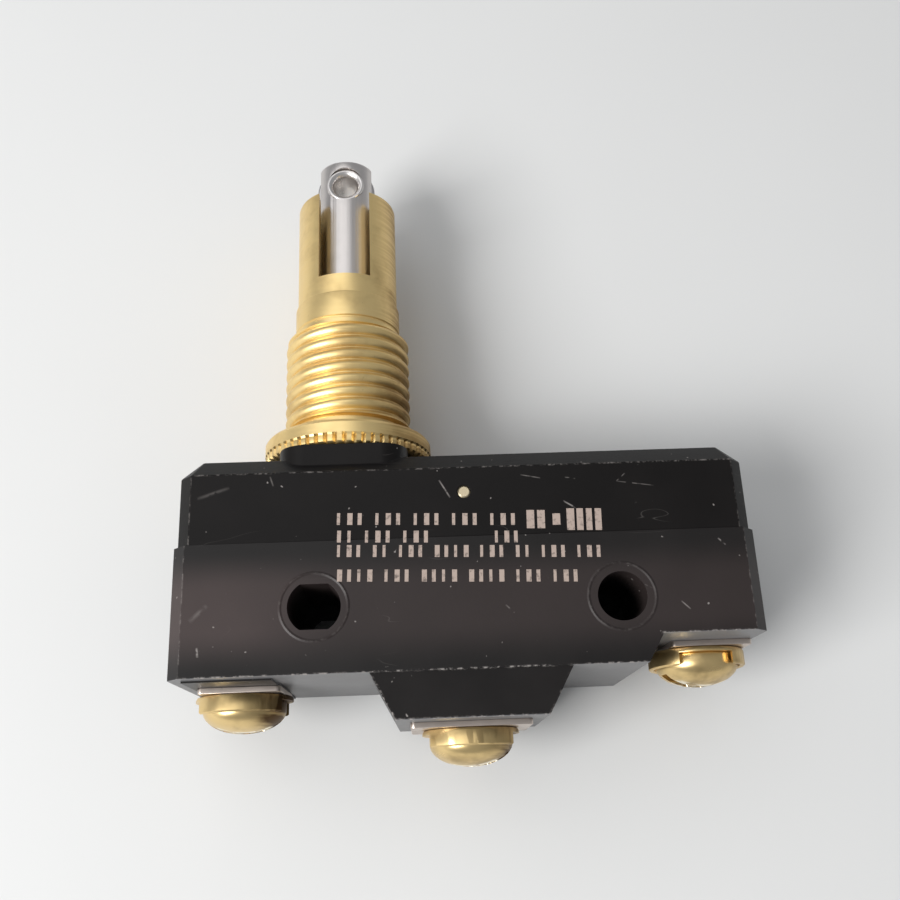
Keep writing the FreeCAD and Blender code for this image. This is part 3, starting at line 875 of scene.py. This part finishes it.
class SWITCH_OT_base(bpy.types.Operator):
    """Model the lower half of the case, with its mounting holes and terminal seats"""

    bl_idname = "switch.base"
    bl_label = "Case base"

    def execute(self, context):
        settings = context.scene.switch_case
        base = add_block("moulded_base", (-CASE_HALF, UNDERSIDE, 0), (CASE_HALF, SEAM, FACE))
        bevel_edges(base, runs_along("Y"), settings.corner_bevel / MM)
        low = (14.4, UNDERSIDE - 1, -1)
        cut = add_block("corner_tool", low, (CASE_HALF + 1, RIGHT_SEAT, DEPTH + 1))
        slant = 1.4
        below = slant * 3.3 / 2.3
        move_vertices(cut, lambda p: p.x < 15 and p.y < -5, (slant - below, 0, 0))
        move_vertices(cut, lambda p: p.x < 15 and p.y > -4, (slant, 0, 0))
        combine(base, cut)
        low = (-BLOCK_HALF, BLOCK_LOW, 0.0)
        block = add_block("block_tool", low, (BLOCK_HALF, UNDERSIDE + 0.4, FACE))
        grow = 1 + 0.4 * 0.236 / 3.65
        narrow = (BLOCK_FOOT_HALF / BLOCK_HALF, 1, (DEPTH - 4.1) / DEPTH)
        resize_vertices(block, lambda p: p.y < -8, narrow, (0, BLOCK_LOW, MID))
        resize_vertices(block, lambda p: p.y > -8, (grow, 1, 1), (0, UNDERSIDE, MID))
        combine(base, block, "UNION")
        low = (-23.5, LEFT_SEAT, 1.1)
        foot = add_block("foot_tool", low, (-16.2, UNDERSIDE + 0.3, DEPTH - 1.1))
        combine(base, foot, "UNION")
        low = (-CAVITY_HALF, CAVITY_FLOOR, WALL)
        cavity = add_block("cavity_tool", low, (CAVITY_HALF, SEAM + 1, DEPTH - WALL))
        combine(base, cavity)
        for z in (2.3, DEPTH - 4.3):
            tongue = add_block("tongue_tool", (-3, 3.2, z), (3, 10.9, z + 2))
            bevel_edges(tongue, lambda a, b: a.y > 10 and b.y > 10, 0.4, 2)
            combine(base, tongue, "UNION")
        cut_pin_hole(base)
        cut_round_hole(base, 0, DEPTH)
        cut_long_hole(base, 0, DEPTH)
        for x, low in POSTS:
            length = CAVITY_FLOOR - low + 2
            combine(base, add_bar("post_tool", "Y", (x, low - 1, MID), POST_RADIUS, length, 48))
        soften(base, settings.edge_round / MM)
        material = make_phenolic(
            "phenolic_base",
            tuple(settings.colour),
            settings.wear_and_highlight,
            case_edges,
            BASE_CUTS,
            rings=case_rings,
            downward=downward_faces,
            painted_sheen=case_sheen,
        )
        finish_piece(base, "case", material, "black_phenolic", "case_base")
        return {"FINISHED"}


class SWITCH_OT_cover(bpy.types.Operator):
    """Model the upper half of the case, with the pad under the bushing"""

    bl_idname = "switch.cover"
    bl_label = "Case cover"

    def execute(self, context):
        settings = context.scene.switch_case
        cover = add_block("moulded_cover", (-COVER_HALF, SEAM, 0), (COVER_HALF, COVER_TOP, FACE))
        bevel_edges(cover, runs_along("Y"), settings.corner_bevel / MM)
        at_top = COVER_TOP - 0.01
        bevel_edges(cover, lambda a, b: a.y > at_top and b.y > at_top, settings.top_bevel / MM)
        low = (AXIS_X - 5.7, COVER_TOP - 1, MID - 7.825)
        pad = add_block("pad_tool", low, (AXIS_X + 5.7, PAD_TOP, MID + 7.825))
        bevel_edges(pad, runs_along("Y"), 2.4, 8)
        combine(cover, pad, "UNION")
        low = (-CAVITY_HALF, SEAM - 1, WALL)
        cavity = add_block("cavity_tool", low, (CAVITY_HALF, CAVITY_TOP, DEPTH - WALL))
        combine(cover, cavity)
        combine(cover, add_bar("spigot_tool", "Y", (AXIS_X, 10, MID), 4.92, 6))
        cut_pin_hole(cover)
        soften(cover, settings.edge_round / MM)
        tint = tuple(0.7 * c for c in settings.colour)
        material = make_phenolic(
            "phenolic_cover", tint, settings.wear_and_highlight, cover_edges, COVER_CUTS, shine=0.16
        )
        finish_piece(cover, "case", material, "black_phenolic", "case_cover")
        profile = mirrored([(0.42, MID), (PIN_RADIUS, MID - 0.12)], MID)
        pin = add_turned("cover_rivet", "Z", (0, PIN_Y, 0), profile, 32)
        shade(pin, 20)
        metal = make_metal("pin_brass", (0.78, 0.66, 0.45), 0.35, (90, 90, 90), 0.4)
        finish_piece(pin, "case", metal, "brass", "cover_pin")
        return {"FINISHED"}


# Bushing


class SWITCH_OT_bushing(bpy.types.Operator):
    """Model the brass bushing: knurled flange, thread, neck and slotted sleeve"""

    bl_idname = "switch.bushing"
    bl_label = "Threaded bushing"

    def execute(self, context):
        settings = context.scene.switch_bushing
        teeth = settings.teeth
        centre = (AXIS_X, 0, MID)
        bottom = bushing_low[1]
        profile = [
            (4.37, bottom),
            (5.17, bottom),
            (5.17, bottom + 0.3),
            (4.87, bottom + 0.3),
            (4.87, PAD_TOP),
            (7.1, PAD_TOP),
            (7.42, PAD_TOP + 0.1),
            (7.7, PAD_TOP + 0.35),
            (7.76, PAD_TOP + 0.65),
            (7.7, PAD_TOP + 0.95),
            (7.8, PAD_TOP + 1.12),
            (7.8, FLANGE_TOP - 0.35),
            (7.62, FLANGE_TOP - 0.08),
            (7.35, FLANGE_TOP),
            (5.5, FLANGE_TOP),
            (5.5, THREAD_START),
            (THREAD_CORE, THREAD_START + 0.05),
            (THREAD_CORE, THREAD_END - 0.45),
            (5.1, THREAD_END),
            (5.1, 28.15),
            (4.98, 28.25),
            (4.98, 28.4),
            (5.1, 28.5),
            (5.1, 30.85),
            (5.05, 31.0),
            (4.9, 31.0),
            (4.9, TIP - 0.35),
            (4.82, TIP - 0.12),
            (4.55, TIP),
            (3.5, TIP),
            (SLEEVE_BORE, TIP - 0.1),
            (SLEEVE_BORE, SLOT_FLOOR),
            (GUIDE_BORE, SLOT_FLOOR),
            (GUIDE_BORE, 31.0),
            (3.92, 31.0),
            (3.92, 26.0),
            (GUIDE_BORE, 26.0),
            (GUIDE_BORE, 24.0),
            (4.37, 24.0),
            (4.37, bottom),
        ]
        body = add_turned("threaded_bushing", "Y", centre, profile, teeth * 4)
        tooth = 2 * math.pi / teeth

        def in_valley(p):
            radius = math.hypot(p.x - AXIS_X, p.z - MID)
            turn = (math.atan2(p.z - MID, p.x - AXIS_X) / tooth) % 1.0
            between = min(turn, 1 - turn) < 0.13
            low = PAD_TOP + 0.05 < p.y < PAD_TOP + 1.0
            return between and low and radius > 7.2

        ratio = (0.962, 1, 0.962)
        resize_vertices(body, in_valley, ratio, (AXIS_X, PAD_TOP, MID))
        slot_low = (AXIS_X - SLOT_HALF, SLOT_FLOOR, MID - 6)
        combine(body, add_block("slot_tool", slot_low, (AXIS_X + SLOT_HALF, TIP + 1, MID + 6)))
        shade(body, 28)
        rib = self.make_rib(settings.pitch / MM)
        shade(rib, 65)
        pick(body)
        rib.select_set(True)
        bpy.ops.object.join()

        # Painted shade: the bushing's brass is painted darker and browner towards its right side,
        # away from the light.
        def painted_shade(shader):
            return (shader.axis("X") - AXIS_X).step(2.4, 5.9) * 0.75

        colour = tuple(settings.colour)
        dark = (0.33, 0.2, 0.075)
        metal = make_metal("turned_brass", colour, 0.4, (1, 60, 1), 0.5, dark, painted_shade=painted_shade)
        finish_piece(body, "case", metal, "brass", "bushing")
        return {"FINISHED"}

    def make_rib(self, pitch):
        """The rib of the thread: a closed outline wound up the core, trimmed at both ends."""
        clear_selection()
        half = ((5.4, 0.62), (5.6, 0.55), (5.78, 0.4), (5.92, 0.22), (THREAD_RADIUS, 0.05))
        outline = mirrored(half, 17.0)
        bpy.ops.mesh.primitive_circle_add(vertices=len(outline), radius=MM)
        rib = settle("thread_rib")
        for vertex, (radius, height) in zip(rib.data.vertices, outline):
            vertex.co = (radius * MM, height * MM, 0)
        wind(rib, pitch, math.ceil(12.2 / pitch), 64)
        profile = [
            (5.5, THREAD_START),
            (6.2, THREAD_START + 0.25),
            (6.2, THREAD_END - 0.6),
            (5.12, THREAD_END),
        ]
        envelope = add_turned("thread_tool", "Y", (AXIS_X, 0, MID), profile, 128)
        return combine(rib, envelope, "INTERSECT")


# Plunger and roller


class SWITCH_OT_plunger(bpy.types.Operator):
    """Model the forked plunger, the roller and the tubular rivet"""

    bl_idname = "switch.plunger"
    bl_label = "Plunger and roller"

    def execute(self, context):
        settings = context.scene.switch_plunger
        edge = settings.edge_break / MM
        top = plunger_high[1]
        low = plunger_low[1]
        fork = add_turned(
            "plunger_fork",
            "Y",
            (AXIS_X, 0, MID),
            [
                (1.9, low),
                (4.22, low),
                (4.22, low + 1.2),
                (2.92, low + 1.2),
                (2.92, top - 0.3),
                (2.83, top - 0.08),
                (2.6, top),
            ],
            96,
        )
        combine(fork, add_bar("bore_tool", "Y", (AXIS_X, low - 1, MID), 1.9, 16.5))
        gap_low = (AXIS_X - 4, top - 6.15, MID - FORK_GAP_HALF)
        gap = add_block("gap_tool", gap_low, (AXIS_X + 4, top + 1, MID + FORK_GAP_HALF))

        def at_gap_floor(a, b):
            return a.y < top - 6 and b.y < top - 6 and abs(a.z - b.z) < 0.01

        bevel_edges(gap, at_gap_floor, 0.5, 4)
        combine(fork, gap)
        head = (rivet_high[0] - rivet_low[0]) / 2
        reach = rivet_high[2] - MID
        flat = reach - RIVET_HEAD
        for z in (MID + flat, MID - flat - 2):
            combine(fork, add_bar("spot_tool", "Z", (AXIS_X, ROLLER_Y, z), head + 0.05, 2, 64))
        combine(fork, add_bar("hole_tool", "Z", (AXIS_X, ROLLER_Y, 0), 1.61, DEPTH, 64))
        soften(fork, edge)
        colour = tuple(settings.colour)
        steel = make_metal("plunger_steel", colour, 0.34, (20, 1.5, 20), 0.25, bump=0.003)
        finish_piece(fork, "plunger", steel, "polished_steel", "plunger")
        rim = (roller_high[0] - roller_low[0]) / 2
        half = [(1.65, ROLLER_HALF), (rim - 0.2, ROLLER_HALF), (rim - 0.06, 1.14), (rim, 1.0)]
        profile = mirrored(half, MID)
        profile.append(profile[0])
        roller = add_turned("roller_wheel", "Z", (AXIS_X, ROLLER_Y, 0), profile, 96)
        shade(roller, 32)
        hard = make_metal("roller_steel", (0.55, 0.53, 0.52), 0.3, (4, 4, 60), 0.3, bump=0.002)
        finish_piece(roller, "roller", hard, "polished_steel", "roller")
        half = [
            (RIVET_BORE, reach - 0.5),
            (1.28, reach - 0.28),
            (1.45, reach - 0.1),
            (1.62, reach),
            (head - 0.1, reach),
            (head, reach - 0.1),
            (head, flat),
            (RIVET_SHANK, flat),
        ]
        profile = mirrored(half, MID)
        profile.append(profile[0])
        rivet = add_turned("tubular_rivet", "Z", (AXIS_X, ROLLER_Y, 0), profile, 64)
        shade(rivet, 50)
        tint = (0.74, 0.71, 0.69)
        rivet_steel = make_metal("rivet_steel", tint, 0.3, (4, 4, 2), bump=0.0)
        finish_piece(rivet, "plunger", rivet_steel, "polished_steel", "roller_pin")
        return {"FINISHED"}


# Terminals


class SWITCH_OT_terminals(bpy.types.Operator):
    """Model the three terminals: plate, cup washer and slotted screw"""

    bl_idname = "switch.terminals"
    bl_label = "Screw terminals"

    def execute(self, context):
        settings = context.scene.switch_terminals
        tint = tuple(settings.screw_colour)
        dark = (0.1, 0.058, 0.025)
        nickel = (0.16, 0.11, 0.085)
        tint_of_plate = tuple(settings.plate_colour)
        plate = make_metal("plate_nickel", tint_of_plate, 0.36, (8, 8, 30), 0.75, nickel)
        for side in SIDES:
            x = middle_x(side + "_terminal_screw")
            end = box_of(side + "_terminal_screw")[0][1]
            turn = math.radians(SCREW_TURNS[side])

            # Painted shade: the brass is painted darker and browner towards its right side, away
            # from the light.
            def painted_shade(shader):
                return (shader.axis("X") - x).step(0.2, 3.4) * RIGHT_SHADE[side]

            # Painted highlight: pale glints along the slot's lips at the screw's tip, over raised
            # burrs.
            def burr_glint(shader):
                across = (shader.axis("X") - x) * math.sin(turn)
                across = across + (shader.axis("Z") - MID) * math.cos(turn)
                at_end = shader.axis("Y").step(end + 0.6, end + 0.4)
                return abs(across).near(0.6, 0.7) * at_end * 1.6

            cup = make_metal(
                side + "_cup_brass", tint, 0.34, (14, 4, 14), 0.7, dark, 0.01, painted_shade=painted_shade
            )
            screw = make_metal(
                side + "_screw_brass",
                tint,
                0.3,
                (3, 25, 3),
                0.7,
                dark,
                0.012,
                burr_glint=burr_glint,
                painted_shade=painted_shade,
            )
            self.make_plate(side, plate)
            self.make_cup(side, side == "right", cup)
            self.make_screw(side, SCREW_TURNS[side], screw)
        return {"FINISHED"}

    def make_plate(self, side, material):
        """A flat plate with clipped corners and a hole."""
        low, high = box_of(side + "_plate")
        piece = add_block(side + "_terminal_plate", low, high)
        bevel_edges(piece, runs_along("Y"), 0.4, 3)
        start = (middle_x(side + "_terminal_screw"), low[1] - 1, MID)
        combine(piece, add_bar("hole_tool", "Y", start, TERMINAL_HOLE, 3, 48))
        soften(piece, 0.06)
        finish_piece(piece, "case", material, "nickel_plate", side + "_plate")

    def make_cup(self, side, gaps_front, material):
        """A cup washer with two turned-up walls."""
        low, high = box_of(side + "_cup_washer")
        x = (low[0] + high[0]) / 2
        rim = (high[0] - low[0]) / 2
        bottom, top = low[1], high[1]
        floor = top - CUP_FLOOR
        inner = rim - CUP_FLOOR
        profile = [
            (TERMINAL_HOLE, top),
            (rim - 0.25, top),
            (rim - 0.08, top - 0.08),
            (rim, top - 0.25),
            (rim, bottom + 0.12),
            (rim - 0.12, bottom),
            (inner + 0.1, bottom),
            (inner, bottom + 0.1),
            (inner, floor - 0.15),
            (inner - 0.15, floor),
            (TERMINAL_HOLE, floor),
            (TERMINAL_HOLE, top),
        ]
        piece = add_turned(side + "_cup", "Y", (x, 0, MID), profile, 96)
        along, deep = (CUP_GAP_HALF, 6) if gaps_front else (6, CUP_GAP_HALF)
        start, end = (x - along, bottom - 1, MID - deep), (x + along, floor, MID + deep)
        combine(piece, add_block("gap_tool", start, end))
        soften(piece, 0.05)
        finish_piece(piece, "case", material, "brass", side + "_cup_washer")

    def make_screw(self, side, angle, material):
        """A domed screw with a straight slot."""
        low, high = box_of(side + "_terminal_screw")
        x = (low[0] + high[0]) / 2
        rim = (high[0] - low[0]) / 2
        end = low[1]
        seat = box_of(side + "_cup_washer")[1][1] - CUP_FLOOR
        profile = [(1.3, high[1]), (1.5, high[1] - 0.3), (1.5, seat), (rim - 0.1, seat)]
        profile.append((rim, seat - 0.1))
        for step in range(12):
            turn = math.radians(7.5 * step)
            height = SCREW_DOME * (1 - math.sin(turn))
            profile.append((rim * math.cos(turn), end + height))
        piece = add_turned(side + "_screw", "Y", (x, 0, MID), profile, 96)
        corner = (-5, end - 1, -SCREW_SLOT_HALF)
        slot = add_block("slot_tool", corner, (5, end + SCREW_SLOT_DEPTH, SCREW_SLOT_HALF))
        slot.rotation_euler = (0, math.radians(angle), 0)
        slot.location = (x * MM, 0, MID * MM)
        apply_transform()
        combine(piece, slot)
        soften(piece, 0.06)
        finish_piece(piece, "case", material, "brass", side + "_terminal_screw")


# Print


class SWITCH_OT_print(bpy.types.Operator):
    """Lay rows of small plain pale bars on the front face"""

    bl_idname = "switch.print"
    bl_label = "Printed bars"

    def execute(self, context):
        settings = context.scene.switch_print
        half = settings.bar_height / MM / 2
        bars = []
        for x, end, y, groups in PRINT_ROWS:
            pitch = (end - x) / (sum(groups) + 0.7 * (len(groups) - 1))
            for group in groups:
                for index in range(group):
                    width = pitch * (0.3, 0.5, 0.38)[(index + group) % 3]
                    bars.append(self.lay_bar(x, y - half, x + width, y + half))
                    x += pitch
                x += 0.7 * pitch
        for left, right, reach in PRINT_MARKS:
            bars.append(self.lay_bar(left, MARK_Y - reach, right, MARK_Y + reach))
        pick(bars[0])
        for bar in bars[1:]:
            bar.select_set(True)
        bpy.ops.object.join()
        sheet = bpy.context.active_object
        sheet.name = "printed_bars"
        sheet.data.name = "printed_bars"
        sheet.rotation_euler = (0, 0, math.radians(PRINT_TILT))
        apply_transform()
        ink = make_ink("pale_ink", tuple(settings.colour))
        finish_piece(sheet, "case", ink, "nickel_plate")
        return {"FINISHED"}

    def lay_bar(self, left, low, right, high):
        """One flat bar of ink, sunk a little into the face."""
        return add_block("bar", (left, low, FACE - INK), (right, high, FACE + INK / 2))


# Inner parts


class SWITCH_OT_inside(bpy.types.Operator):
    """Finish the solids inside the case, and wind the two coil springs"""

    bl_idname = "switch.inside"
    bl_label = "Inner parts"

    def execute(self, context):
        spring = make_metal("spring_wire", (0.5, 0.5, 0.52), 0.3, (6, 40, 6), 0.3)
        bronze = make_metal("contact_bronze", (0.68, 0.42, 0.24), 0.32, (60, 4, 4), 0.5)
        silver = make_metal("contact_silver", (0.82, 0.81, 0.79), 0.28, (20, 20, 20), 0.3)
        brass = make_metal("post_brass", (0.72, 0.52, 0.22), 0.32, (2, 50, 2), 0.5)
        ivory = make_ivory("ivory_plastic")
        finishes = {
            spring: ("spring_seat", "bushing_washer"),
            bronze: ("snap_blade", "normally_closed_strap", "normally_open_strap"),
            silver: ("moving_contact", "normally_closed_contact", "normally_open_contact"),
            brass: ("common_post", "normally_open_post", "normally_closed_post", "blade_anchor"),
            ivory: ("actuating_pin",),
        }
        for material, names in finishes.items():
            for name in names:
                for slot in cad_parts[name].material_slots:
                    slot.link = "OBJECT"
                    slot.material = material
        stroke = PLUNGER_TRAVEL - PIN_TRAVEL
        self.make_spring("return_spring", "case", 0.5, 7, spring, False, PLUNGER_TRAVEL)
        self.make_spring("overtravel_spring", "plunger", 0.35, 20, spring, True, stroke)
        return {"FINISHED"}

    def make_spring(self, node, body, wire, turns, material, from_top, stroke):
        """A coil spring between its two ends."""
        low, high = box_of(node)
        radius = wire / 2
        length = high[1] - low[1]
        clear_selection()
        bpy.ops.mesh.primitive_circle_add(vertices=12, radius=radius * MM)
        coil = settle(node.replace("spring", "coil"))
        for vertex in coil.data.vertices:
            vertex.co.x += ((high[0] - low[0]) / 2 - radius) * MM
            vertex.co.y += (low[1] + radius) * MM
        wind(coil, (length - wire) / turns, turns, 32)
        shade(coil, 60)
        finish_piece(coil, body, material, "spring_steel", node)
        held = (AXIS_X * MM, (high if from_top else low)[1] * MM, MID * MM)
        (length - stroke) / length
        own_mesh(coil)


# Stage

# The camera that stands where the photograph was taken: lens in millimetres, place in metres
LENS = 40.007
CAMERA_PLACE = (-0.00353, -0.015588, 0.098928)
CAMERA_TURN = (-0.3399, -0.0232, -0.0358)
LIGHT_AIM = (0, 0.012, 0.0087)


class SWITCH_OT_stage(bpy.types.Operator):
    """Set the floor, the lights and the camera"""

    bl_idname = "switch.stage"
    bl_label = "Stage"

    def execute(self, context):
        settings = context.scene.switch_stage
        clear_selection()
        bpy.ops.mesh.primitive_plane_add(size=3.0, location=(0, 0, -0.00005))
        floor = settle("floor")
        shader = Shader("pale_floor")
        tone = shader.noise(30, detail=3)
        colour = tuple(settings.floor_colour)
        shader.set(Base_Color=shader.mix(tone, colour, tuple(0.96 * c for c in colour)))
        shader.set(Roughness=0.85)
        floor.data.materials.append(shader.material)
        self.add_light("softbox", (-0.32, -0.16, 0.32), 0.24, 2.4)
        self.add_light("panel", (-0.13, 0.2, 0.4), 0.38, 0.45)
        world = bpy.data.worlds.new("soft_room")
        context.scene.world = world
        world.use_nodes = True
        background = world.node_tree.nodes["Background"]
        background.inputs["Color"].default_value = (0.8, 0.82, 0.85, 1)
        background.inputs["Strength"].default_value = 0.42
        context.scene.view_settings.view_transform = "Standard"
        self.add_camera(context)
        return {"FINISHED"}

    def add_light(self, name, place, size, power):
        """A square soft light that faces the switch."""
        clear_selection()
        bpy.ops.object.light_add(type="AREA", location=place)
        light = bpy.context.active_object
        light.name = name
        light.data.size = size
        light.data.energy = power
        aim = Vector(LIGHT_AIM) - Vector(place)
        light.rotation_euler = aim.to_track_quat("-Z", "Y").to_euler()

    def add_camera(self, context):
        """The camera at the photograph's place and angle."""
        clear_selection()
        bpy.ops.object.camera_add()
        camera = bpy.context.active_object
        camera.name = "camera"
        camera.data.lens = LENS
        camera.data.sensor_width = 36
        camera.data.clip_start = 0.005
        angles = Vector(CAMERA_TURN)
        turn = Matrix.Rotation(angles.length, 3, angles.normalized())
        turn = turn @ Matrix.Diagonal((1, -1, -1))
        right, down, ahead = turn
        columns = Matrix((right, -down, -ahead)).transposed()
        camera.matrix_world = Matrix.Translation(CAMERA_PLACE) @ columns.to_4x4()
        context.scene.camera = camera


class SWITCH_PT_panel(bpy.types.Panel):
    """The steps of the model and its sizes"""

    bl_label = "Roller plunger switch"
    bl_idname = "SWITCH_PT_panel"
    bl_space_type = "VIEW_3D"
    bl_region_type = "UI"
    bl_category = "Switch"

    def draw(self, context):
        for operator in OPERATORS:
            self.layout.operator(operator.bl_idname)
        for name, group in SETTINGS.items():
            box = self.layout.box()
            for key in group.__annotations__:
                box.prop(getattr(context.scene, name), key)


SETTINGS = {
    "switch_case": CaseSettings,
    "switch_bushing": BushingSettings,
    "switch_plunger": PlungerSettings,
    "switch_terminals": TerminalSettings,
    "switch_print": PrintSettings,
    "switch_stage": StageSettings,
}

OPERATORS = (
    SWITCH_OT_stage,
    SWITCH_OT_base,
    SWITCH_OT_cover,
    SWITCH_OT_bushing,
    SWITCH_OT_plunger,
    SWITCH_OT_terminals,
    SWITCH_OT_print,
    SWITCH_OT_inside,
)


def register():
    for name, group in SETTINGS.items():
        bpy.utils.register_class(group)
        setattr(bpy.types.Scene, name, bpy.props.PointerProperty(type=group))
    for operator in OPERATORS:
        bpy.utils.register_class(operator)
    bpy.utils.register_class(SWITCH_PT_panel)


def unregister():
    bpy.utils.unregister_class(SWITCH_PT_panel)
    for operator in reversed(OPERATORS):
        bpy.utils.unregister_class(operator)
    for name, group in SETTINGS.items():
        delattr(bpy.types.Scene, name)
        bpy.utils.unregister_class(group)


def main():
    """Model the switch step by step."""
    register()
    bpy.ops.switch.stage()
    bpy.ops.switch.base()
    bpy.ops.switch.cover()
    bpy.ops.switch.bushing()
    bpy.ops.switch.plunger()
    bpy.ops.switch.terminals()
    bpy.ops.switch.print()
    bpy.ops.switch.inside()
    clear_selection()


if __name__ == "__main__":
    main()
